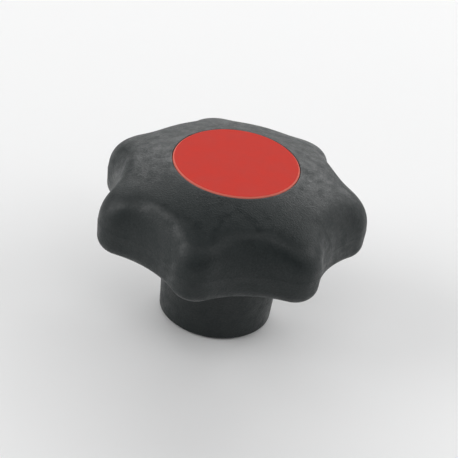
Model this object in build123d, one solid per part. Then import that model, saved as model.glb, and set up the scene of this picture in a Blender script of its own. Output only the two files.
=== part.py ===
"""Star knob: a moulded grip with seven lobes on a tapered hub, a threaded metal bush moulded into the
hub, and a coloured cover cap that snaps into the top of the grip.

Everything is in millimetres. +Z is the thread axis and points up, away from the machine that the knob
clamps. The origin is the centre of the bush's foot, the face that the knob stands and clamps on. The
first lobe points along -Y, to the front.
"""

from build123d import *
from math import atan, cos, hypot, pi, radians, sin, sqrt, tan
import os

# ---- Grip: the lobed head ----
LOBE_COUNT = 7
FIRST_LOBE = -90.0  # direction of the first lobe, in degrees about the axis
HEAD_DIAMETER = 63.0  # over the lobe crests, at the parting line of the mould
FLUTE_DEPTH = 4.8  # the hollows between the lobes run this deep
CREST_RADIUS = 5.9  # plan radius of a lobe's crest
LOWER_HEAD_HEIGHT = 6.8  # from the head's underside up to the parting line
UPPER_HEAD_HEIGHT = 12.6  # from the parting line up to the rim around the cap
DOME_RADIUS = 60.0  # the crowned top is part of a ball of this radius
CREST_ROUNDING = 7.7  # top edge of a lobe, in a plane through the axis
FLUTE_ROUNDING = 10.3  # top edge of a flute's floor, in a plane through the axis
UPPER_DRAFT = 4.0  # degrees that the side leans in above the parting line
LOWER_DRAFT = 3.8  # degrees that it leans in below the parting line
PARTING_STEP = 0.12  # the lower half stands proud of the upper by this much
FOOT_ROUNDING = 3.4  # bottom edge of the head

# ---- Grip: the hub ----
HUB_HEIGHT = 20.1  # length of the hub, from its foot to the head's underside
HUB_FOOT_DIAMETER = 25.8
HUB_ROOT_DIAMETER = 28.2  # where it meets the head
HUB_ROOT_ROUNDING = 1.5
HUB_FOOT_ROUNDING = 0.5
BUSH_PROUD = 0.3  # the bush's foot stands this much below the hub's

# ---- Cover cap ----
CAP_DIAMETER = 28.8
CAP_THICKNESS = 2.2
CAP_BEVEL = 0.45  # edge of the visible face
CAP_PROUD = 0.2  # the face lies this much above the grip's rim
CAP_GAP = 0.22  # between the cap's edge and its recess, all round
RECESS_LIP_CHAMFER = 0.2
SKIRT_DIAMETER = 22.0  # outside of the ring of tongues under the cap
SKIRT_WALL = 1.6
SKIRT_LENGTH = 6.0
SKIRT_GAP = 0.15  # between the tongues and the pocket, all round
TONGUE_COUNT = 4
TONGUE_SLOT = 3.0  # width of the slot between two tongues
BEAD_DEPTH = 0.5  # how far the bead on each tongue stands out
BEAD_LENGTH = 2.0
BEAD_GAP = 0.2  # above the bead, under the shoulder that holds it
POCKET_ROOM = 3.5  # free depth under the tongues

# ---- Threaded bush ----
THREAD_CORE_DIAMETER = 10.2  # M12, bored to its core
THREAD_DEPTH = 22.0  # full diameter, from the bush's foot
DRILL_POINT_ANGLE = 118.0
MOUTH_DIAMETER = 12.0  # countersunk to the thread's full diameter
COUNTERSINK_ANGLE = 120.0
COLLAR_DIAMETER = 19.0
COLLAR_HEIGHT = 2.5
HEX_ACROSS_FLATS = 16.0
HEX_HEIGHT = 23.5  # the hexagonal body above the collar
GROOVE_COUNT = 2
GROOVE_DEPTH = 1.0
GROOVE_WIDTH = 3.0

# ---- How finely roundings are drawn: in bands that are straight from one level to the next ----
CROWN_BANDS = 12  # the head above the parting line
FOOT_BANDS = 5  # bottom edge of the head
HUB_BANDS = 3  # each rounding of the hub
LEAST_LOBE = 0.001  # share of a lobe that is left in the dome, so that its arcs keep two centres

# ---- Heights and fits that follow from the sizes above ----
HUB_FOOT = BUSH_PROUD
HEAD_FOOT = HUB_FOOT + HUB_HEIGHT
PARTING = HEAD_FOOT + LOWER_HEAD_HEIGHT
RIM = PARTING + UPPER_HEAD_HEIGHT
CAP_TOP = RIM + CAP_PROUD
CAP_SEAT = CAP_TOP - CAP_THICKNESS
SKIRT_FOOT = CAP_SEAT - SKIRT_LENGTH
BEAD_TOP = SKIRT_FOOT + BEAD_LENGTH
POCKET_FLOOR = SKIRT_FOOT - POCKET_ROOM

CREST_REACH = HEAD_DIAMETER / 2  # reach is the distance from the axis
FLUTE_REACH = CREST_REACH - FLUTE_DEPTH
RECESS_RADIUS = CAP_DIAMETER / 2 + CAP_GAP
POCKET_RADIUS = SKIRT_DIAMETER / 2 + SKIRT_GAP
DOME_CENTRE = RIM - sqrt(DOME_RADIUS**2 - RECESS_RADIUS**2)


def rounding(reach, height, radius, start, end, bands):
    """Points along an arc in a plane through the axis, as (reach, height). The angles are in radians from
    straight outwards."""
    turns = [start + (end - start) * band / bands for band in range(bands + 1)]
    return [(reach + radius * cos(turn), height + radius * sin(turn)) for turn in turns]


def plan_outline(crest_reach, flute_reach, crest_radius):
    """One level section of the head: crest and flute arcs, each tangent to the next, all the way round."""
    half_pitch = pi / LOBE_COUNT
    crest_centre = crest_reach - crest_radius
    # The flute's arc touches the two crests beside it and reaches in to the flute's floor.
    level = crest_centre * cos(half_pitch)
    squares = crest_radius**2 - crest_centre**2 - flute_reach**2 + 2 * flute_reach * level
    flute_radius = squares / (2 * (flute_reach - level - crest_radius))
    flute_centre = flute_reach + flute_radius
    # The arcs touch on the line through their centres.
    share = crest_radius / (crest_radius + flute_radius)
    x = crest_centre + (flute_centre * cos(half_pitch) - crest_centre) * share
    y = flute_centre * sin(half_pitch) * share
    floor = Vector(flute_reach, 0).rotate(Axis.Z, 180 / LOBE_COUNT)
    next_crest = Vector(x, -y).rotate(Axis.Z, 360 / LOBE_COUNT)
    crest = ThreePointArc((x, -y), (crest_reach, 0), (x, y))
    flute = ThreePointArc((x, y), floor, next_crest)
    turns = [Rotation(0, 0, 360 / LOBE_COUNT * lobe) for lobe in range(LOBE_COUNT)]
    return make_face([turn * arc for turn in turns for arc in (crest, flute)])


def side_profile(wall_reach, rounding):
    """The head's side above the parting line, in a plane through the axis: a drafted wall, a rounding
    that touches it, and the dome that touches the rounding. Gives the function radius(height)."""
    draft = radians(UPPER_DRAFT)
    # The rounding's centre lies one rounding inside the wall and one rounding inside the dome.
    inset = wall_reach - rounding / cos(draft)
    below = PARTING - DOME_CENTRE
    a = tan(draft) ** 2 + 1
    b = 2 * (below - inset * tan(draft))
    c = inset**2 + below**2 - (DOME_RADIUS - rounding) ** 2
    rise = (-b + sqrt(b**2 - 4 * a * c)) / (2 * a)
    centre_reach = inset - rise * tan(draft)
    centre_height = PARTING + rise
    wall_end = centre_height + rounding * sin(draft)
    dome_start = centre_height + rounding * (centre_height - DOME_CENTRE) / (DOME_RADIUS - rounding)

    def radius(height):
        if height <= wall_end:
            return wall_reach - (height - PARTING) * tan(draft)
        if height < dome_start:
            return centre_reach + sqrt(rounding**2 - (height - centre_height) ** 2)
        return sqrt(DOME_RADIUS**2 - (height - DOME_CENTRE) ** 2)

    return radius


def upper_head():
    """The head above the parting line, lofted through level sections. Crest and flute have side profiles
    of their own that end in the same dome, so the lobes fade out there, and with them the sharper
    curvature of their crests. It closes inside the cap's recess, which cuts it later."""
    crest = side_profile(CREST_REACH, CREST_ROUNDING)
    flute = side_profile(FLUTE_REACH, FLUTE_ROUNDING)
    summit = DOME_CENTRE + sqrt(DOME_RADIUS**2 - POCKET_RADIUS**2)
    sharpness = CREST_REACH * (CREST_REACH / CREST_RADIUS - 1)
    sections = []
    for level in range(CROWN_BANDS + 1):
        # The levels crowd towards the summit, where the surface runs almost flat.
        height = PARTING + (summit - PARTING) * sin(pi / 2 * level / CROWN_BANDS)
        reach = crest(height)
        fade = max((reach - flute(height)) / FLUTE_DEPTH, LEAST_LOBE)
        crest_radius = reach / (1 + sharpness * fade / reach)
        outline = plan_outline(reach, reach - FLUTE_DEPTH * fade, crest_radius)
        sections.append(Pos(0, 0, height) * outline)
    return loft(sections, ruled=True)


def lower_head():
    """The head below the parting line: its outline, a little larger than the upper half's, drawn in with
    draft, and then in a rounding that ends on the underside."""
    draft = radians(LOWER_DRAFT)
    centre = CREST_REACH - (LOWER_HEAD_HEIGHT - FOOT_ROUNDING) * tan(draft) - FOOT_ROUNDING / cos(draft)
    edge = rounding(centre, HEAD_FOOT + FOOT_ROUNDING, FOOT_ROUNDING, -draft, -pi / 2, FOOT_BANDS)
    sections = []
    for reach, height in [(CREST_REACH, PARTING), *edge]:
        grown = PARTING_STEP + reach - CREST_REACH
        outline = plan_outline(CREST_REACH + grown, FLUTE_REACH + grown, CREST_RADIUS + grown)
        sections.append(Pos(0, 0, height) * outline)
    return loft(sections, ruled=True)


def hub():
    """The tapered hub: a rounded foot, the cone, and a flare that runs into the head's underside. Its top
    lies inside the head."""
    foot = HUB_FOOT_DIAMETER / 2
    root = HUB_ROOT_DIAMETER / 2
    slope = atan((root - foot) / HUB_HEIGHT)
    foot_centre = foot + HUB_FOOT_ROUNDING * (tan(slope) - 1 / cos(slope))
    foot_height = HUB_FOOT + HUB_FOOT_ROUNDING
    foot_edge = rounding(foot_centre, foot_height, HUB_FOOT_ROUNDING, -pi / 2, -slope, HUB_BANDS)
    flare_centre = root - HUB_ROOT_ROUNDING * (tan(slope) - 1 / cos(slope))
    flare_height = HEAD_FOOT - HUB_ROOT_ROUNDING
    flare = rounding(flare_centre, flare_height, HUB_ROOT_ROUNDING, pi - slope, pi / 2, HUB_BANDS)
    top = [(flare[-1][0], PARTING), (0, PARTING)]
    side = Polyline((0, HUB_FOOT), *foot_edge, *flare, *top, close=True)
    return revolve(Plane.XZ * make_face(side), Axis.Z)


def bush_body():
    """The bush without its bore: a round collar at the foot and a hexagonal body, grooved all round, so
    that the moulding holds it against both turning and pulling."""
    collar = extrude(Circle(COLLAR_DIAMETER / 2), COLLAR_HEIGHT)
    hexagon = RegularPolygon(HEX_ACROSS_FLATS / 2, 6, major_radius=False)
    body = Pos(0, 0, COLLAR_HEIGHT) * extrude(hexagon, HEX_HEIGHT)
    waist = HEX_ACROSS_FLATS / 2 - GROOVE_DEPTH
    for number in range(GROOVE_COUNT):
        height = COLLAR_HEIGHT + HEX_HEIGHT * (number + 1) / (GROOVE_COUNT + 1)
        groove = Cylinder(HEX_ACROSS_FLATS, GROOVE_WIDTH) - Cylinder(waist, GROOVE_WIDTH)
        body -= Pos(0, 0, height) * groove
    return body + collar


def threaded_bush():
    """The bush, bored to the thread's core from its foot, with a countersunk mouth."""
    core = THREAD_CORE_DIAMETER / 2
    mouth = MOUTH_DIAMETER / 2
    sink = (mouth - core) / tan(radians(COUNTERSINK_ANGLE / 2))
    tip = THREAD_DEPTH + core / tan(radians(DRILL_POINT_ANGLE / 2))
    side = Polyline((0, 0), (mouth, 0), (core, sink), (core, THREAD_DEPTH), (0, tip), close=True)
    return bush_body() - revolve(Plane.XZ * make_face(side), Axis.Z)


def pocket():
    """What the mould's core leaves open in the top of the grip: the recess for the cap's edge, and the
    pocket for its tongues, undercut below a shoulder that the beads click under."""
    bead_reach = POCKET_RADIUS + BEAD_DEPTH
    shoulder = BEAD_TOP + BEAD_GAP
    over = CAP_TOP + CAP_THICKNESS
    side = Polyline(
        (0, over),
        (RECESS_RADIUS, over),
        (RECESS_RADIUS, CAP_SEAT),
        (POCKET_RADIUS, CAP_SEAT),
        (POCKET_RADIUS, shoulder),
        (bead_reach, shoulder - BEAD_DEPTH),
        (bead_reach, POCKET_FLOOR),
        (0, POCKET_FLOOR),
        close=True,
    )
    return revolve(Plane.XZ * make_face(side), Axis.Z)


def rim_edges(solid):
    """The edges where the cap's recess cuts the crowned top."""
    near = 0.05

    def on_rim(edge):
        middle = edge.position_at(0.5)
        return abs(middle.Z - RIM) < near and abs(hypot(middle.X, middle.Y) - RECESS_RADIUS) < near

    return solid.edges().filter_by(on_rim)


def grip():
    """The moulded grip in one piece, with the cap's pocket in its top and the bush's place in its hub."""
    head = upper_head() + lower_head()
    whole = Rotation(0, 0, FIRST_LOBE) * head + hub() - pocket()
    return chamfer(rim_edges(whole), RECESS_LIP_CHAMFER) - bush_body()


def cap():
    """The cover cap: a disc with a bevelled edge on a ring of tongues, each with a bead at its foot."""
    outer = SKIRT_DIAMETER / 2
    inner = outer - SKIRT_WALL
    edge = CAP_DIAMETER / 2
    bevel_foot = CAP_TOP - CAP_BEVEL
    face = Polyline(
        (0, CAP_SEAT),
        (edge, CAP_SEAT),
        (edge, bevel_foot),
        (edge - CAP_BEVEL, CAP_TOP),
        (0, CAP_TOP),
        close=True,
    )
    skirt = Polyline(
        (inner, CAP_SEAT),
        (outer, CAP_SEAT),
        (outer, BEAD_TOP),
        (outer + BEAD_DEPTH, BEAD_TOP - BEAD_DEPTH),
        (outer, SKIRT_FOOT),
        (inner, SKIRT_FOOT),
        close=True,
    )
    tongues = revolve(Plane.XZ * make_face(skirt), Axis.Z)
    slot = Pos(outer, 0, CAP_SEAT - SKIRT_LENGTH / 2) * Box(2 * outer, TONGUE_SLOT, SKIRT_LENGTH)
    for number in range(TONGUE_COUNT):
        tongues -= Rotation(0, 0, 360 / TONGUE_COUNT * number) * slot
    return revolve(Plane.XZ * make_face(face), Axis.Z) + tongues


def write_parts():
    os.makedirs("parts", exist_ok=True)
    pieces = {"grip": grip(), "threaded_bush": threaded_bush(), "cover_cap": cap()}
    for name, piece in pieces.items():
        export_step(piece, f"parts/{name}.step")
        print(f"{name}: {piece.volume / 1000:.2f} cm3")


write_parts()
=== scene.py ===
# %% [markdown]
# # A star knob
#
# This knob tightens a clamp by hand. It has three pieces. The grip is one moulding of black polyamide: a
# head with seven lobes for the fingers, on a tapered hub. A brass bush with an M12 thread sits in the hub,
# and a red cover cap snaps into the top.
#
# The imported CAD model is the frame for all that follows. It loads in metres, with +Z up along the thread,
# the origin at the foot of the bush, and the first lobe pointing to the front, along -Y.

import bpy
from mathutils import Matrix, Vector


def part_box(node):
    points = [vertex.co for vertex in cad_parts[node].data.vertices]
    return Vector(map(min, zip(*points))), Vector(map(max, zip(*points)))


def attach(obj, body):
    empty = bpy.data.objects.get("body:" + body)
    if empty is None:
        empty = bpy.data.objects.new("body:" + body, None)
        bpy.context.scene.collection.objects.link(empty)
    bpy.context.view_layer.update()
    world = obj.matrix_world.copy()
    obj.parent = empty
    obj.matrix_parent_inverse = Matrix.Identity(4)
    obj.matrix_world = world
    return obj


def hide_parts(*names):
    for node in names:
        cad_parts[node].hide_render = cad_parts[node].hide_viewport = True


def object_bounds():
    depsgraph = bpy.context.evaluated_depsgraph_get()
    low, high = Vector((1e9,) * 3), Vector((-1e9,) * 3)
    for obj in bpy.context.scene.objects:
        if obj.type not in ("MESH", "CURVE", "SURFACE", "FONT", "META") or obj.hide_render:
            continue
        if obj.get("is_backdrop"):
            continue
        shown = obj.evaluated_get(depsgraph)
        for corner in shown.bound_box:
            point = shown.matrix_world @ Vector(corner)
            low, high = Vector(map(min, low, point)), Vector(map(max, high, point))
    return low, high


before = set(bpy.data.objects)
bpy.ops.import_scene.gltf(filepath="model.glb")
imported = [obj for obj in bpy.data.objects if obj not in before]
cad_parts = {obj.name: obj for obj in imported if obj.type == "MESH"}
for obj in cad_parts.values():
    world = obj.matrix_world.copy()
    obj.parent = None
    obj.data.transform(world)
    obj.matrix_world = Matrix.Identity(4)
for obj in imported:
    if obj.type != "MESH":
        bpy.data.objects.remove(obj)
cad_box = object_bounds()

print("CAD box:", [[round(value * 1000, 2) for value in corner] for corner in cad_box], "mm")

# %% [markdown]
# ## Measures
#
# The outer heights and reaches come from the boxes of the CAD nodes, so the looks follow the frame. A
# reach is a distance from the axis. The sizes that a box can't tell, such as the radius of a lobe's crest,
# are written once, in millimetres, and turned into metres by MM.

# %% Measures of the whole knob
from math import atan, atan2, cos, hypot, pi, radians, sin, sqrt, tan

import bmesh
import bpy
from mathutils import Vector

MM = 0.001
LOBES = 7
CAD_PARTING_STEP = 0.12 * MM  # how far the frame's lower half stands out, which its box includes
PARTING_STEP = 0.02 * MM  # the lower half of the mould is this much wider
CAP_PROUD = 0.2 * MM  # the cap's face over the grip's rim
FLUTE_DEPTH = 4.8 * MM
HUB_HEIGHT = 20.1 * MM
PARTING_HEIGHT = 6.8 * MM  # over the underside of the head
SMOOTH_BELOW = radians(30)  # edges shallower than this are shaded smooth

grip_low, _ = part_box("grip")
_, bush_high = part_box("threaded_bush")
cap_low, cap_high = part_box("cover_cap")

crest_reach = -grip_low.y - CAD_PARTING_STEP
flute_reach = crest_reach - FLUTE_DEPTH
hub_foot = grip_low.z
head_foot = hub_foot + HUB_HEIGHT
parting = head_foot + PARTING_HEIGHT
rim = cap_high.z - CAP_PROUD
cap_reach = cap_high.x

print(f"head: {crest_reach / MM:.2f} mm to a crest, {flute_reach / MM:.2f} mm to a flute")
print(f"heights: underside {head_foot / MM:.1f}, parting {parting / MM:.1f}, rim {rim / MM:.1f} mm")

# %% [markdown]
# ## Camera
#
# The knob is seen a little from above, through a long lens from half a metre away, which keeps the lobes
# nearly parallel. The camera is held slightly turned about its own line of sight, so the knob leans.

# %% Camera
CAMERA_AZIMUTH = radians(11.63)
CAMERA_ELEVATION = radians(33.1)
CAMERA_DISTANCE = 0.555
CAMERA_ROLL = radians(8.77)
CAMERA_LENS = 190.8
PIVOT = Vector((0, 0, 0.0203))  # the point that the camera is moved round
AIM = Vector((0.00042, 0.00093, 0.02156))

backwards = Vector((
    sin(CAMERA_AZIMUTH) * cos(CAMERA_ELEVATION),
    -cos(CAMERA_AZIMUTH) * cos(CAMERA_ELEVATION),
    sin(CAMERA_ELEVATION),
))
bpy.ops.object.camera_add(location=PIVOT + backwards * CAMERA_DISTANCE)
camera = bpy.context.object
sight = AIM - camera.location
camera.rotation_euler = sight.to_track_quat("-Z", "Y").to_euler()
camera.rotation_euler.rotate_axis("Z", CAMERA_ROLL)
camera.data.lens = CAMERA_LENS
camera.data.clip_start = 0.01
camera.data.clip_end = 20
bpy.context.scene.camera = camera

print(f"camera: {sight.length:.3f} m away, {CAMERA_LENS} mm lens")

# %% [markdown]
# ## Working in edit mode from a script
#
# By hand, one clicks the ring or face that the next tool shall work on. A script picks it by its place
# instead. These helpers start a piece with nothing else selected, pick what passes a test, and carry a
# ring of points on through further rings, as Extrude and Scale do under the hand.

# %% Helpers for modelling
def start_piece(name):
    """Names the object that was just added and opens it in edit mode, alone."""
    piece = bpy.context.object
    piece.name = piece.data.name = name
    bpy.ops.object.select_all(action="DESELECT")
    piece.select_set(True)
    bpy.context.view_layer.objects.active = piece
    bpy.ops.object.transform_apply(location=True, rotation=True, scale=True)
    bpy.ops.object.mode_set(mode="EDIT")
    bpy.ops.mesh.select_all(action="DESELECT")
    return piece


def pick(piece, kind, wanted):
    """Selects only the verts, edges or faces for which wanted(item, reach, height) is true."""
    bpy.ops.mesh.select_mode(type={"verts": "VERT", "edges": "EDGE", "faces": "FACE"}[kind])
    bpy.ops.mesh.select_all(action="DESELECT")
    mesh = bmesh.from_edit_mesh(piece.data)
    for item in getattr(mesh, kind):
        corners = [item.co] if kind == "verts" else [vertex.co for vertex in item.verts]
        middle = sum(corners, Vector()) / len(corners)
        reach = sum(hypot(corner.x, corner.y) for corner in corners) / len(corners)
        if wanted(item, reach, middle.z):
            item.select_set(True)
    mesh.select_flush_mode()
    bmesh.update_edit_mesh(piece.data)


def near(value, target):
    return abs(value - target) < 0.002 * MM


def pick_open_ring(piece, height):
    """Selects the ring of open edges at that height."""
    pick(piece, "edges", lambda edge, reach, edge_height: edge.is_boundary and near(edge_height, height))


def draw_ring(stops):
    """Extrudes the picked ring from the first stop through the others. A stop is (reach, height)."""
    for (reach, height), (new_reach, new_height) in zip(stops, stops[1:]):
        rise = (0, 0, new_height - height)
        bpy.ops.mesh.extrude_edges_move(TRANSFORM_OT_translate={"value": rise})
        growth = new_reach / reach
        bpy.ops.transform.resize(value=(growth, growth, 1), center_override=(0, 0, 0))


def arc(reach, height, radius, start, end, steps):
    """Stops along an arc round the point (reach, height). Angles are from straight outwards."""
    turns = [start + (end - start) * step / steps for step in range(steps + 1)]
    return [(reach + radius * cos(turn), height + radius * sin(turn)) for turn in turns]


def close_piece(piece):
    """Leaves edit mode with the faces turned outwards and the shallow edges shaded smooth."""
    bpy.ops.mesh.select_all(action="SELECT")
    bpy.ops.mesh.remove_doubles(threshold=0.0005 * MM)
    bpy.ops.mesh.normals_make_consistent(inside=False)
    bpy.ops.object.mode_set(mode="OBJECT")
    bpy.ops.object.shade_smooth_by_angle(angle=SMOOTH_BELOW)
    print(f"{piece.name}: {len(piece.data.vertices)} points, {len(piece.data.polygons)} faces")


def copy_of(piece):
    """A second piece with the same mesh of its own."""
    copy = piece.copy()
    copy.data = piece.data.copy()
    bpy.context.collection.objects.link(copy)
    return copy


def combine(piece, other, operation):
    """Joins the other solid to the piece, or cuts it out, and removes the other."""
    bpy.ops.object.select_all(action="DESELECT")
    piece.select_set(True)
    bpy.context.view_layer.objects.active = piece
    boolean = piece.modifiers.new(operation, "BOOLEAN")
    boolean.operation = operation
    boolean.solver = "EXACT"
    boolean.object = other
    bpy.ops.object.modifier_apply(modifier=boolean.name)
    bpy.data.objects.remove(other)


# %% [markdown]
# ## Bush
#
# The bush is turned from hexagonal brass bar. Its round collar is the face that the knob clamps on. The
# moulded plastic grips the six flats, so it can't turn in the hub, and fills two grooves, so it can't be
# pulled out. Modelled as it is machined: bar, collar, grooves, then drill and tap.
#
# A groove's cutter is a ring. A cylinder becomes one when both ends are inset and the two inner faces are
# bridged, which opens the hole. It is made once and copied for the second groove.

# %% Bar, collar and grooves
BUSH_COLLAR_HEIGHT = 2.5 * MM
BAR_FLATS = 8.0 * MM  # from the axis to a flat
BAR_HEIGHT = bush_high.z - BUSH_COLLAR_HEIGHT
GROOVE_FLOOR = 7.0 * MM
GROOVE_WIDTH = 3.0 * MM
GROOVE_CUTTER_REACH = 12 * MM  # clear of the bar
bush_reach = bush_high.x

bpy.ops.mesh.primitive_cylinder_add(
    vertices=6,
    radius=BAR_FLATS / cos(pi / 6),
    depth=BAR_HEIGHT + MM,  # reaches into the collar
    location=(0, 0, bush_high.z - (BAR_HEIGHT + MM) / 2),
    rotation=(0, 0, pi / 6),
)
bush = start_piece("brass_bush")
pick(bush, "edges", lambda edge, reach, height: near(height, bush_high.z))
bpy.ops.mesh.bevel(offset=0.4 * MM, segments=2)
close_piece(bush)

bpy.ops.mesh.primitive_cylinder_add(
    vertices=144,
    radius=bush_reach,
    depth=BUSH_COLLAR_HEIGHT,
    location=(0, 0, BUSH_COLLAR_HEIGHT / 2),
)
collar = start_piece("collar")
pick(collar, "edges", lambda edge, reach, height: near(height, 0))
bpy.ops.mesh.bevel(offset=0.15 * MM, segments=3)
close_piece(collar)
combine(bush, collar, "UNION")

bpy.ops.mesh.primitive_cylinder_add(vertices=96, radius=GROOVE_CUTTER_REACH, depth=GROOVE_WIDTH)
groove = start_piece("groove")
pick(groove, "faces", lambda face, reach, height: abs(face.normal.z) > 0.9)
bpy.ops.mesh.inset(thickness=GROOVE_CUTTER_REACH - GROOVE_FLOOR)
bpy.ops.mesh.bridge_edge_loops()
close_piece(groove)
groove_heights = [BUSH_COLLAR_HEIGHT + BAR_HEIGHT * share for share in (1 / 3, 2 / 3)]
for height in groove_heights:
    cutter = copy_of(groove)
    cutter.location.z = height
    combine(bush, cutter, "DIFFERENCE")
bpy.data.objects.remove(groove)
bush_space = copy_of(bush)  # the room that the bush takes up in the hub

print("bush:", len(bush.data.polygons), "faces, grooves at", [round(h / MM, 2) for h in groove_heights])

# %% [markdown]
# The bore is one cutter: a countersunk mouth, the drilled hole and the drill's point, drawn ring by ring
# from below the foot. The thread is cut as a tap does it. The shape of one tooth, a trapezium, is screwed
# up through the bore by a Screw modifier, one pitch a turn, and the bush is cut with it. Sixty-degree
# flanks give an M12 thread with the pitch of 1.75 mm.

# %% Bore and thread
CORE_REACH = 5.1 * MM
THREAD_REACH = 6.0 * MM
THREAD_DEPTH = 22.0 * MM
PITCH = 1.75 * MM
COUNTERSINK = radians(60)  # from the axis to the cone's wall
DRILL_POINT = radians(59)
THREAD_TURNS = 13

below = -1.0 * MM
drill_stops = [
    (THREAD_REACH - below * tan(COUNTERSINK), below),
    (CORE_REACH, (THREAD_REACH - CORE_REACH) / tan(COUNTERSINK)),
    (CORE_REACH, THREAD_DEPTH),
    (0.05 * MM, THREAD_DEPTH + CORE_REACH / tan(DRILL_POINT)),
]
bpy.ops.mesh.primitive_circle_add(vertices=120, radius=drill_stops[0][0], location=(0, 0, below))
drill = start_piece("drill")
bpy.ops.mesh.select_all(action="SELECT")
bpy.ops.mesh.select_mode(type="EDGE")
draw_ring(drill_stops)
bpy.ops.mesh.merge(type="CENTER")
pick_open_ring(drill, below)
bpy.ops.mesh.edge_face_add()
close_piece(drill)
combine(bush, drill, "DIFFERENCE")

TOOTH_ROOT = 4.9 * MM  # inside the core, so that the cut is clean
TOOTH_TIP_WIDTH = PITCH / 8
tooth_depth = THREAD_REACH - TOOTH_ROOT
tooth_root_width = TOOTH_TIP_WIDTH + 2 * tooth_depth * tan(radians(30))
tooth_start = -1.5 * PITCH
bpy.ops.mesh.primitive_plane_add(
    size=tooth_depth,
    location=(TOOTH_ROOT + tooth_depth / 2, 0, tooth_start),
    rotation=(pi / 2, 0, 0),
)
tap = start_piece("tap")
for place, width in ((TOOTH_ROOT, tooth_root_width), (THREAD_REACH, TOOTH_TIP_WIDTH)):
    pick(tap, "verts", lambda point, reach, height: near(reach, place))
    bpy.ops.transform.resize(value=(1, 1, width / tooth_depth), center_override=(0, 0, tooth_start))
bpy.ops.mesh.select_all(action="SELECT")
bpy.ops.mesh.delete(type="ONLY_FACE")  # the screw wants the tooth's outline alone
bpy.ops.object.mode_set(mode="OBJECT")
screw = tap.modifiers.new("thread", "SCREW")
screw.screw_offset = PITCH
screw.iterations = THREAD_TURNS
screw.steps = screw.render_steps = 60
bpy.ops.object.modifier_apply(modifier=screw.name)
bpy.ops.object.mode_set(mode="EDIT")
bpy.ops.mesh.select_all(action="SELECT")
bpy.ops.mesh.fill_holes(sides=4)
close_piece(tap)
combine(bush, tap, "DIFFERENCE")
bpy.ops.object.shade_smooth_by_angle(angle=SMOOTH_BELOW)

print(f"bush: {len(bush.data.polygons)} faces, thread {THREAD_DEPTH / MM:.0f} mm deep")

# %% [markdown]
# ## Grip
#
# The head is the hard shape here. Its lobes are sharp in plan at the parting line and fade out in the
# crowned top. A spin gives only round bodies, an outline that is scaled ring by ring keeps its lobes to
# the top, and flutes cut with cylinders and then bevelled leave creases where the bevels meet. So this
# one skin is worked out by formula, as a mould maker's drawing would give it.
#
# Each level section is a chain of arcs that touch: a crest, a flute, a crest. Crest and flute have side
# profiles of their own: a wall that leans in on a wide arc, a rounding and the dome. At any height the
# two profiles say how far the lobes still stand out. The lower half is the outline at the parting line,
# drawn in with draft and a rounding, down to the flat underside.
#
# The flute's side departs from the frame here. Its wall leans in more as it rises and its top edge is
# tighter, which moves the surface by up to 0.6 mm.

# %% Level sections and side profiles
CREST_RADIUS = 5.9 * MM
DOME_RADIUS = 60.0 * MM
CREST_SWELL = 200.0 * MM  # radius of the wall itself, seen from the side: almost straight
FLUTE_SWELL = 22.0 * MM  # the flute's wall leans in more and more as it rises
CREST_ROUNDING = 7.7 * MM
FLUTE_ROUNDING = 4.0 * MM
UPPER_DRAFT = radians(4.0)
LOWER_DRAFT = radians(3.8)
FOOT_ROUNDING = 3.4 * MM
CAP_GAP = 0.12 * MM
LIP_ROUNDING = 0.12 * MM
LEAST_LOBE = 0.001
SEGMENTS = LOBES * 48

half_pitch = pi / LOBES
recess_reach = cap_reach + CAP_GAP
dome_centre = rim - sqrt(DOME_RADIUS**2 - recess_reach**2)


def section(crest, flute, radius):
    """Reaches of one level section, round the axis from the front lobe on."""
    centre = crest - radius
    level = centre * cos(half_pitch)
    squares = radius**2 - centre**2 - flute**2 + 2 * flute * level
    flute_radius = squares / (2 * (flute - level - radius))
    flute_centre = flute + flute_radius
    share = radius / (radius + flute_radius)
    touch = atan2(
        flute_centre * sin(half_pitch) * share,
        centre + (flute_centre * cos(half_pitch) - centre) * share,
    )
    side = 1 if flute_radius > 0 else -1  # a flute that has faded is hollow no longer

    def reach(angle):
        angle = abs((angle + half_pitch) % (2 * half_pitch) - half_pitch)
        if angle < touch:
            return centre * cos(angle) + sqrt(radius**2 - (centre * sin(angle)) ** 2)
        angle = half_pitch - angle
        across = flute_radius**2 - (flute_centre * sin(angle)) ** 2
        return flute_centre * cos(angle) - side * sqrt(across)

    return [reach(2 * pi * step / SEGMENTS) for step in range(SEGMENTS)]


def side_profile(wall, swell, rounding):
    """The function reach(height) above the parting line: three arcs that touch, wall, rounding and dome."""
    wall_centre = Vector((wall - swell * cos(UPPER_DRAFT), parting - swell * sin(UPPER_DRAFT)))
    dome_middle = Vector((0, dome_centre))
    # The rounding lies inside wall and dome, so its centre is one rounding short of each radius.
    between = wall_centre - dome_middle
    apart = between.length
    along = ((DOME_RADIUS - rounding) ** 2 - (swell - rounding) ** 2 + apart**2) / (2 * apart)
    aside = sqrt((DOME_RADIUS - rounding) ** 2 - along**2)
    ahead = between / apart
    centres = [dome_middle + ahead * along + Vector((-ahead.y, ahead.x)) * way * aside for way in (1, -1)]
    centre = max(centres, key=lambda place: place.y + place.x)
    wall_end = wall_centre.y + swell * (centre.y - wall_centre.y) / (swell - rounding)
    dome_start = dome_centre + DOME_RADIUS * (centre.y - dome_centre) / (DOME_RADIUS - rounding)

    def reach(height):
        if height <= wall_end:
            return wall_centre.x + sqrt(swell**2 - (height - wall_centre.y) ** 2)
        if height < dome_start:
            return centre.x + sqrt(max(rounding**2 - (height - centre.y) ** 2, 0))
        return sqrt(DOME_RADIUS**2 - (height - dome_centre) ** 2)

    return reach


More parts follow.
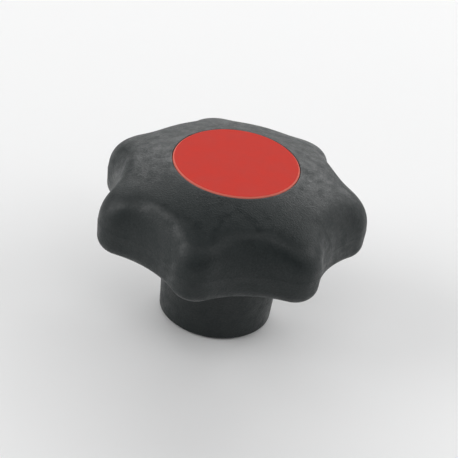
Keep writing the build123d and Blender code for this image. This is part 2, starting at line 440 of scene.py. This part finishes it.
crest_side = side_profile(crest_reach, CREST_SWELL, CREST_ROUNDING)
flute_side = side_profile(flute_reach, FLUTE_SWELL, FLUTE_ROUNDING)
for height in (28, 30, 32, 34, 36, 38):
    crest, flute = crest_side(height * MM) / MM, flute_side(height * MM) / MM
    print(f"at {height} mm: crest {crest:.2f}, flute {flute:.2f} mm")
print(f"dome centre at {dome_centre / MM:.2f} mm, {SEGMENTS} points to a ring")

# %% [markdown]
# The rings of the upper half follow the side profiles at even steps along them, close enough together
# that no facet shows on the dome. Where the two halves of the mould met, the lower one stands out by
# 0.02 mm, too little to show as a line.

# %% Skin of the head
UPPER_RINGS = 64
FINE_STEPS = 600  # the side is measured in this many steps before it is parted evenly
UNDERSIDE_RINGS = 8
UNDERSIDE_CROWDING = 1.5  # above 1, the rings lie closer together at the outer edge

hub_foot_reach = 12.9 * MM
hub_root_reach = 14.1 * MM
ROOT_ROUNDING = 1.5 * MM
HUB_FOOT_ROUNDING = 0.5 * MM
hub_slope = atan((hub_root_reach - hub_foot_reach) / (head_foot - hub_foot))
flare_reach = hub_root_reach - ROOT_ROUNDING * (tan(hub_slope) - 1 / cos(hub_slope))

lip_start = dome_centre + sqrt(DOME_RADIUS**2 - (recess_reach + LIP_ROUNDING) ** 2)
upper_height = lip_start - parting
fine_turns = [pi / 2 * step / FINE_STEPS for step in range(FINE_STEPS + 1)]
fine_heights = [parting + upper_height * sin(turn) for turn in fine_turns]
fine_places = [((crest_side(height) + flute_side(height)) / 2, height) for height in fine_heights]
travelled = [0]
for (reach, height), (next_reach, next_height) in zip(fine_places, fine_places[1:]):
    travelled.append(travelled[-1] + hypot(next_reach - reach, next_height - height))
upper_heights = []
for ring in range(UPPER_RINGS + 1):
    wanted = travelled[-1] * ring / UPPER_RINGS
    upper_heights.append(next(h for h, way in zip(fine_heights, travelled) if way >= wanted - 1e-9))

sharpness = crest_reach * (crest_reach / CREST_RADIUS - 1)
rings = []
for height in reversed(upper_heights):
    reach = crest_side(height)
    fade = max((reach - flute_side(height)) / (crest_reach - flute_reach), LEAST_LOBE)
    flute = reach - (crest_reach - flute_reach) * fade
    rings.append((height, section(reach, flute, reach / (1 + sharpness * fade / reach))))


def grown_section(growth):
    return section(crest_reach + growth, flute_reach + growth, CREST_RADIUS + growth)


wall_height = head_foot + FOOT_ROUNDING
wall_foot = (wall_height - parting) * tan(LOWER_DRAFT) - FOOT_ROUNDING / cos(LOWER_DRAFT)
edge = arc(wall_foot, wall_height, FOOT_ROUNDING, -LOWER_DRAFT, -pi / 2, 12)
for growth, height in [(0, parting)] + edge:
    rings.append((height, grown_section(PARTING_STEP + growth)))
foot_section = rings[-1][1]
for ring in range(1, UNDERSIDE_RINGS + 1):
    share = (ring / UNDERSIDE_RINGS) ** UNDERSIDE_CROWDING
    rings.append((head_foot, [reach + (flare_reach - reach) * share for reach in foot_section]))

points = []
for height, reaches in rings:
    for step, reach in enumerate(reaches):
        angle = 2 * pi * step / SEGMENTS - pi / 2
        points.append((reach * cos(angle), reach * sin(angle), height))
faces = []
for ring in range(len(rings) - 1):
    for step in range(SEGMENTS):
        a = ring * SEGMENTS + step
        b = ring * SEGMENTS + (step + 1) % SEGMENTS
        faces.append((a, a + SEGMENTS, b + SEGMENTS, b))
skin = bpy.data.meshes.new("grip")
skin.from_pydata(points, [], faces)
grip = bpy.data.objects.new("moulded_grip", skin)
bpy.context.collection.objects.link(grip)
bpy.context.view_layer.objects.active = grip

print(f"head: {len(rings)} rings, {len(faces)} faces")

# %% [markdown]
# Everything else on the grip is round, so it is drawn on from the skin's two open rings. The
# lower ring is extruded through the flare at the root of the hub, down its cone and round its foot. The
# upper ring goes over the lip into the recess for the cap, and on into the pocket, which is undercut
# below a shoulder where the cap's beads click in.
#
# The bush lies in the mould when the plastic is shot round it. A Boolean does the same: it takes the
# bush's body out of the hub, exactly where the metal is.

# %% Hub, recess and pocket
POCKET_REACH = 11.15 * MM
BEAD_REACH = 11.65 * MM
SHOULDER = 34.0 * MM
POCKET_FLOOR = 28.3 * MM
CAP_THICKNESS = 2.2 * MM
HOLD = 0.3 * MM  # a ring this near an edge keeps the flat beside it flat

cap_seat = cap_high.z - CAP_THICKNESS
hub_edge = hub_foot_reach + HUB_FOOT_ROUNDING * (tan(hub_slope) - 1 / cos(hub_slope))
flare = arc(flare_reach, head_foot - ROOT_ROUNDING, ROOT_ROUNDING, pi / 2, pi - hub_slope, 8)
foot = arc(hub_edge, hub_foot + HUB_FOOT_ROUNDING, HUB_FOOT_ROUNDING, -hub_slope, -pi / 2, 6)
hub_stops = flare + foot + [(hub_edge - HOLD, hub_foot)]

lip_centre = (recess_reach + LIP_ROUNDING, lip_start - LIP_ROUNDING)
lip = arc(*lip_centre, LIP_ROUNDING, pi / 2, pi, 5)
recess_stops = lip + [
    (recess_reach, cap_seat),
    (POCKET_REACH, cap_seat),
    (POCKET_REACH, SHOULDER),
    (BEAD_REACH, SHOULDER - 0.5 * MM),
    (BEAD_REACH, POCKET_FLOOR),
    (BEAD_REACH - HOLD, POCKET_FLOOR),
]

grip = start_piece("moulded_grip")
pick_open_ring(grip, head_foot)
draw_ring(hub_stops)
bpy.ops.mesh.edge_face_add()
pick_open_ring(grip, lip_start)
draw_ring(recess_stops)
bpy.ops.mesh.edge_face_add()
close_piece(grip)
combine(grip, bush_space, "DIFFERENCE")
bpy.ops.object.shade_smooth_by_angle(angle=SMOOTH_BELOW)

# %% [markdown]
# ## Cover cap
#
# The cap is a disc of red polyamide on four springy tongues. A cylinder is its start: the rim of the face
# gets its bevel, and the bevel's two edges are broken once more, because a moulded edge is never sharp
# and light on that bevel makes part of the thin bright line round the cap. Underneath, the bottom face is
# inset twice, and the ring between is extruded down in four sectors. Each sector's foot is pushed out and
# in again, which is the bead that holds it.

# %% Disc and bevel
CAP_BEVEL = 0.28 * MM
BROKEN_EDGE = 0.06 * MM
CAP_SEGMENTS = 256

bpy.ops.mesh.primitive_cylinder_add(
    vertices=CAP_SEGMENTS,
    radius=cap_reach,
    depth=CAP_THICKNESS,
    location=(0, 0, cap_seat + CAP_THICKNESS / 2),
)
cap = start_piece("red_cap")
pick(cap, "edges", lambda edge, reach, height: near(height, cap_high.z))
bpy.ops.mesh.bevel(offset=CAP_BEVEL)
for bevel_height in (cap_high.z, cap_high.z - CAP_BEVEL):
    pick(cap, "edges", lambda edge, reach, height: near(height, bevel_height))
    bpy.ops.mesh.bevel(offset=BROKEN_EDGE, segments=3)
pick(cap, "faces", lambda face, reach, height: face.normal.z > 0.9 and near(height, cap_high.z))
bpy.ops.mesh.inset(thickness=0.3 * MM)

# %% Tongues
SKIRT_REACH = 11.0 * MM
SKIRT_WALL = 1.6 * MM
BEAD_DEPTH = 0.5 * MM
BEAD_LENGTH = 2.0 * MM
HALF_SLOT = radians(8.4)


def in_skirt(face, reach, height):
    middle = face.calc_center_median()
    from_slot = abs((atan2(middle.y, middle.x) + pi / 4) % (pi / 2) - pi / 4)
    in_ring = SKIRT_REACH - SKIRT_WALL < reach < SKIRT_REACH
    return face.normal.z < -0.9 and in_ring and from_slot > HALF_SLOT


pick(cap, "faces", lambda face, reach, height: face.normal.z < -0.9)
bpy.ops.mesh.inset(thickness=cap_reach - SKIRT_REACH)
bpy.ops.mesh.inset(thickness=SKIRT_WALL)
pick(cap, "faces", in_skirt)

bead_top = cap_low.z + BEAD_LENGTH
tongue_stops = [
    (SKIRT_REACH, cap_seat),
    (SKIRT_REACH, bead_top),
    (SKIRT_REACH + BEAD_DEPTH, bead_top - BEAD_DEPTH),
    (SKIRT_REACH, cap_low.z),
]
for (reach, height), (new_reach, new_height) in zip(tongue_stops, tongue_stops[1:]):
    bpy.ops.mesh.extrude_region_move(TRANSFORM_OT_translate={"value": (0, 0, new_height - height)})
    pick(cap, "verts", lambda point, place, level: near(level, new_height) and near(place, reach))
    growth = new_reach / reach
    bpy.ops.transform.resize(value=(growth, growth, 1), center_override=(0, 0, 0))
    pick(cap, "faces", lambda face, place, level: near(level, new_height) and face.normal.z < -0.9)
close_piece(cap)

print(f"cap: {cap_reach * 2 / MM:.1f} mm across, tongues down to {cap_low.z / MM:.1f} mm")

# %% [markdown]
# ## Finishes
#
# Moulds for such plastics often have steel eroded with sparks, which leaves a fine grain. Both plastics
# get the same kind, at their own size and depth, so it is one node group. It takes a place on the piece
# and gives a height for the Bump node and a mottle, a slow cloudy difference as glass fibre near the skin
# could make. The brass borrows it, fainter. Places are in object coordinates, scaled to millimetres.

# %% Helpers for nodes
def new_tree(tree):
    """Empties a node tree and gives two short functions, one to add nodes and one to link them."""
    tree.nodes.clear()

    def add(kind, **settings):
        node = tree.nodes.new(kind)
        inputs = settings.pop("inputs", {})
        for name, value in settings.items():
            setattr(node, name, value)
        for name, value in inputs.items():
            node.inputs[name].default_value = value
        return node

    return add, tree.links.new


def add_range(add, link, value, low, high, from_low=0.0, from_high=1.0):
    """Maps a value from one range to another and gives the socket of the result."""
    ranged = add("ShaderNodeMapRange", inputs={
        "From Min": from_low, "From Max": from_high, "To Min": low, "To Max": high,
    })
    link(value, ranged.inputs["Value"])
    return ranged.outputs["Result"]


def add_mix(add, link, share, first, second):
    """Mixes two colours by a share and gives the socket of the result."""
    mix = add("ShaderNodeMix", data_type="RGBA")
    link(share, mix.inputs["Factor"])
    for socket, colour in ((mix.inputs[6], first), (mix.inputs[7], second)):
        if isinstance(colour, bpy.types.NodeSocket):
            link(colour, socket)
        else:
            socket.default_value = (*colour, 1)
    return mix.outputs[2]


# %% The grain of a moulded surface
grain_group = bpy.data.node_groups.new("moulded_grain", "ShaderNodeTree")
for name, kind, way, default in (
    ("Place", "NodeSocketVector", "INPUT", None),
    ("Grain Size", "NodeSocketFloat", "INPUT", 0.4),
    ("Cloud Size", "NodeSocketFloat", "INPUT", 3.0),
    ("Height", "NodeSocketFloat", "OUTPUT", None),
    ("Mottle", "NodeSocketFloat", "OUTPUT", None),
):
    socket = grain_group.interface.new_socket(name, in_out=way, socket_type=kind)
    if default:
        socket.default_value = default

add, link = new_tree(grain_group)
given = add("NodeGroupInput")
result = add("NodeGroupOutput")
in_mm = add("ShaderNodeVectorMath", operation="SCALE", inputs={"Scale": 1 / MM})
link(given.outputs["Place"], in_mm.inputs[0])


def add_noise(size, detail, roughness):
    """Noise whose features are about as large as the group's input of that name says, in millimetres."""
    scale = add("ShaderNodeMath", operation="DIVIDE")
    scale.inputs[0].default_value = 1.0
    link(given.outputs[size], scale.inputs[1])
    noise = add("ShaderNodeTexNoise", inputs={"Detail": detail, "Roughness": roughness})
    link(in_mm.outputs["Vector"], noise.inputs["Vector"])
    link(scale.outputs["Value"], noise.inputs["Scale"])
    return noise.outputs["Fac"]


link(add_noise("Grain Size", 3.0, 0.6), result.inputs["Height"])
link(add_range(add, link, add_noise("Cloud Size", 5.0, 0.65), 0, 1, 0.35, 0.65), result.inputs["Mottle"])


def new_material(name):
    """A material with a Principled shader and the place on the piece."""
    material = bpy.data.materials.new(name)
    material.use_nodes = True
    add, link = new_tree(material.node_tree)
    shader = add("ShaderNodeBsdfPrincipled")
    link(shader.outputs["BSDF"], add("ShaderNodeOutputMaterial").inputs["Surface"])
    place = add("ShaderNodeTexCoord").outputs["Object"]
    return material, add, link, shader, place


def add_grain(add, link, place, grain_size, cloud_size):
    grain = add("ShaderNodeGroup", node_tree=grain_group)
    grain.inputs["Grain Size"].default_value = grain_size
    grain.inputs["Cloud Size"].default_value = cloud_size
    link(place, grain.inputs["Place"])
    return grain.outputs["Height"], grain.outputs["Mottle"]


def add_roughness(add, link, shader, rough, share, change):
    """Gives the shader a roughness that changes by so much where the share is one."""
    changed = add("ShaderNodeMath", operation="MULTIPLY_ADD")
    link(share, changed.inputs[0])
    changed.inputs[1].default_value = change
    link(rough, changed.inputs[2])
    link(changed.outputs["Value"], shader.inputs["Roughness"])


def add_bump(add, link, shader, height, depth):
    """Turns a height into the shader's normal. The depth is in metres."""
    bump = add("ShaderNodeBump", inputs={"Strength": 1.0, "Distance": depth})
    link(height, bump.inputs["Height"])
    link(bump.outputs["Normal"], shader.inputs["Normal"])


POLYAMIDE_IOR = 1.53

print("group:", grain_group.name, "with", len(grain_group.nodes), "nodes")

# %% [markdown]
# The grip is taken to be black polyamide with glass fibre, a very dark grey with a cool cast. What makes
# it look grey is its gloss: rough, so that it spreads the light of the tent, and stronger where the
# surface turns away. The tops of the grain are made a little paler and smoother than its hollows, a
# painted sheen on the grain, because bump alone leaves the speckle too faint.

# %% Black polyamide
black, add, link, shader, place = new_material("black_polyamide")
height, mottle = add_grain(add, link, place, 0.42, 2.4)
grain_tops_painted_sheen = add_range(add, link, height, 0, 1, 0.38, 0.66)
base = add_mix(add, link, mottle, (0.0012, 0.0050, 0.0054), (0.0048, 0.0098, 0.0100))
# The paler colour on the grain's tops is a painted sheen.
link(add_mix(add, link, grain_tops_painted_sheen, base, (0.0080, 0.0130, 0.0132)), shader.inputs["Base Color"])
add_roughness(add, link, shader, add_range(add, link, mottle, 0.42, 0.64), grain_tops_painted_sheen, -0.08)
add_bump(add, link, shader, height, 0.08 * MM)
shader.inputs["IOR"].default_value = POLYAMIDE_IOR
shader.inputs["Specular IOR Level"].default_value = 0.42

# %% [markdown]
# The cap is a matt red. Light on the bevel alone doesn't make a pale line all the way round, so the bevel
# is also given a paler, smoother red: a painted highlight on top of the light that the bevel catches.
# That is a choice of looks: what makes the line on a real cap isn't known. The distance from the axis
# tells the bevel from the face.

# %% Red polyamide
red, add, link, shader, place = new_material("red_polyamide")
height, mottle = add_grain(add, link, place, 0.25, 4.0)
flat_place = add("ShaderNodeVectorMath", operation="MULTIPLY")
flat_place.inputs[1].default_value = (1, 1, 0)
link(place, flat_place.inputs[0])
reach = add("ShaderNodeVectorMath", operation="LENGTH")
link(flat_place.outputs["Vector"], reach.inputs[0])
bevel_start = cap_reach - CAP_BEVEL
painted_highlight_band = add_range(
    add, link, reach.outputs["Value"], 0, 1, bevel_start - 0.08 * MM, bevel_start + 0.04 * MM
)
face_red = add_mix(add, link, mottle, (0.520, 0.0190, 0.0080), (0.560, 0.0225, 0.0105))
# The paler red on the bevel is a painted highlight, added to the light that the bevel catches.
link(add_mix(add, link, painted_highlight_band, face_red, (0.74, 0.18, 0.135)), shader.inputs["Base Color"])
add_roughness(add, link, shader, add_range(add, link, mottle, 0.52, 0.60), painted_highlight_band, -0.12)
add_bump(add, link, shader, height, 0.006 * MM)
shader.inputs["IOR"].default_value = POLYAMIDE_IOR
shader.inputs["Specular IOR Level"].default_value = 0.09

# %% [markdown]
# The bush is bare turned brass: a metal, fairly smooth, with no more than a faint unevenness.

# %% Turned brass
brass, add, link, shader, place = new_material("turned_brass")
height, mottle = add_grain(add, link, place, 0.5, 2.0)
link(add_mix(add, link, mottle, (0.66, 0.45, 0.18), (0.74, 0.53, 0.24)), shader.inputs["Base Color"])
link(add_range(add, link, mottle, 0.26, 0.38), shader.inputs["Roughness"])
shader.inputs["Metallic"].default_value = 1.0
add_bump(add, link, shader, height, 0.004 * MM)

# %% [markdown]
# ## Ride and replace
#
# Each finished piece takes its finish, stands for its CAD node and rides on the one body, root.

# %% Put the pieces on the frame
for piece, node, slot, material in (
    (grip, "grip", "grip_polyamide", black),
    (bush, "threaded_bush", "bush_brass", brass),
    (cap, "cover_cap", "cap_polyamide", red),
):
    piece.data.materials.clear()
    piece.data.materials.append(material)
    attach(piece, "root")
    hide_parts(node)
    print(piece.name, "stands for", node, "in", material.name)

# %% [markdown]
# ## Floor and light
#
# The knob stands on pale paper in a light tent. The bright sides of the tent are left, right and behind,
# so the top of the knob shines where it turns away, and its front stays dark. The panels are large and
# close, which gives the shadow its soft edge.
#
# The strengths began as a fit. Each lamp was rendered alone, and the shares that came closest to the
# wanted tones were worked out, scaled and rounded. Some were then changed.

# %% Floor
bpy.ops.mesh.primitive_plane_add(size=6)
floor = bpy.context.object
floor.name = "paper_floor"
paper = bpy.data.materials.new("pale_paper")
paper.use_nodes = True
paper_shader = paper.node_tree.nodes["Principled BSDF"]
paper_shader.inputs["Base Color"].default_value = (0.87, 0.87, 0.87, 1)
paper_shader.inputs["Roughness"].default_value = 0.7
paper_shader.inputs["Specular IOR Level"].default_value = 0.2
floor.data.materials.append(paper)
floor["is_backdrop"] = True


# %% Light tent
def add_panel(name, azimuth, elevation, distance, width, height, power):
    """A rectangular lamp that faces the knob. Azimuth 0 is in front, 90 to the right."""
    turn, tilt = radians(azimuth), radians(elevation)
    away = Vector((sin(turn) * cos(tilt), -cos(turn) * cos(tilt), sin(tilt)))
    bpy.ops.object.light_add(type="AREA", location=away * distance)
    panel = bpy.context.object
    panel.name = name
    panel.rotation_euler = away.to_track_quat("Z", "Y").to_euler()
    panel.data.shape = "RECTANGLE"
    panel.data.size = width
    panel.data.size_y = height
    panel.data.energy = power


# name, azimuth, elevation, distance, width, height, power
for panel_row in (
    ("panel_back", 192, 30, 1.0, 1.2, 0.5, 6.6),
    ("panel_back_left", -125, 30, 1.0, 0.7, 0.6, 0.4),
    ("panel_back_right", 145, 30, 1.0, 0.7, 0.6, 1.4),
    ("panel_left", -68, 30, 0.9, 0.7, 0.7, 4.4),
    ("panel_right", 104, 30, 0.9, 0.7, 0.7, 2.5),
    ("panel_front", 12, 60, 1.0, 0.8, 0.5, 1.5),
    ("panel_front_right", 60, 40, 1.0, 0.8, 0.5, 1.0),
):
    add_panel(*panel_row)

AMBIENT = 0.13  # strength of the tent as it lights the knob
BACKDROP = 0.85  # and as the camera sees it past the paper
world = bpy.data.worlds.new("tent")
world.use_nodes = True
add, link = new_tree(world.node_tree)
tent = add("ShaderNodeBackground", inputs={"Color": (0.98, 0.99, 1.0, 1)})
seen = add("ShaderNodeLightPath").outputs["Is Camera Ray"]
link(add_range(add, link, seen, AMBIENT, BACKDROP), tent.inputs["Strength"])
link(tent.outputs["Background"], add("ShaderNodeOutputWorld").inputs["Surface"])
bpy.context.scene.world = world
bpy.context.scene.view_settings.view_transform = "Standard"

# %% Measure the looks against the frame
size = {
    "cad_box": [list(corner) for corner in cad_box],
    "visual_box": [list(corner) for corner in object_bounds()],
}
visual_mm = [[round(value / MM, 2) for value in corner] for corner in size["visual_box"]]
print("visual box:", visual_mm, "mm")
